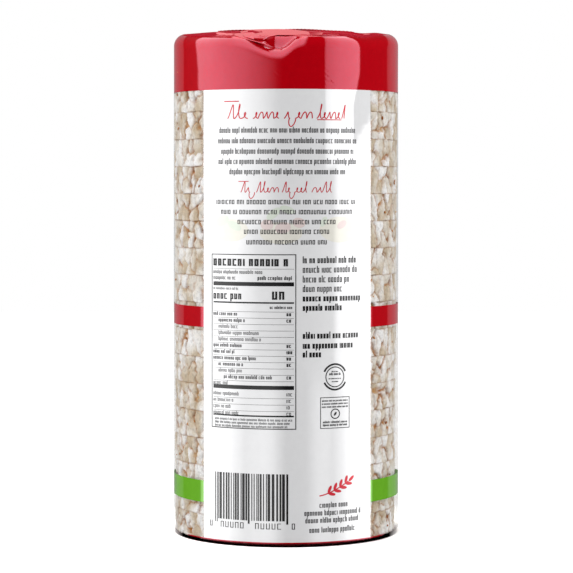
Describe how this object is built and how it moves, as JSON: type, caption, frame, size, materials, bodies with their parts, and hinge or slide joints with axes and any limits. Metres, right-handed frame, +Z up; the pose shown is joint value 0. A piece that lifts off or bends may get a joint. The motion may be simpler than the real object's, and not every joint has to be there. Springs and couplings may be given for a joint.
{
  "type": "film pack of puffed rice cakes",
  "caption": "Tall round film pack holding a stack of puffed rice cakes, clear at both sides, with a folded gable top and a flat folded base.",
  "frame": {"origin": "centre of the base, on the surface that the pack stands on", "axes": "+Z up along the stack of cakes; the panel with the nutrition table faces -Y and the clear windows face -X and +X"},
  "size_m": [0.0948, 0.0948, 0.2111],
  "materials": {
    "red_film": "glossy printed packing film",
    "white_film": "glossy white printed packing film",
    "green_film": "glossy printed packing film",
    "clear_film": "clear glossy packing film",
    "ink": "black print on film",
    "rice_cake": "dry puffed rice, cream with toasted seams"
  },
  "bodies": {
    "root": {"film_pack": "red_film"}
  },
  "joints": []
}
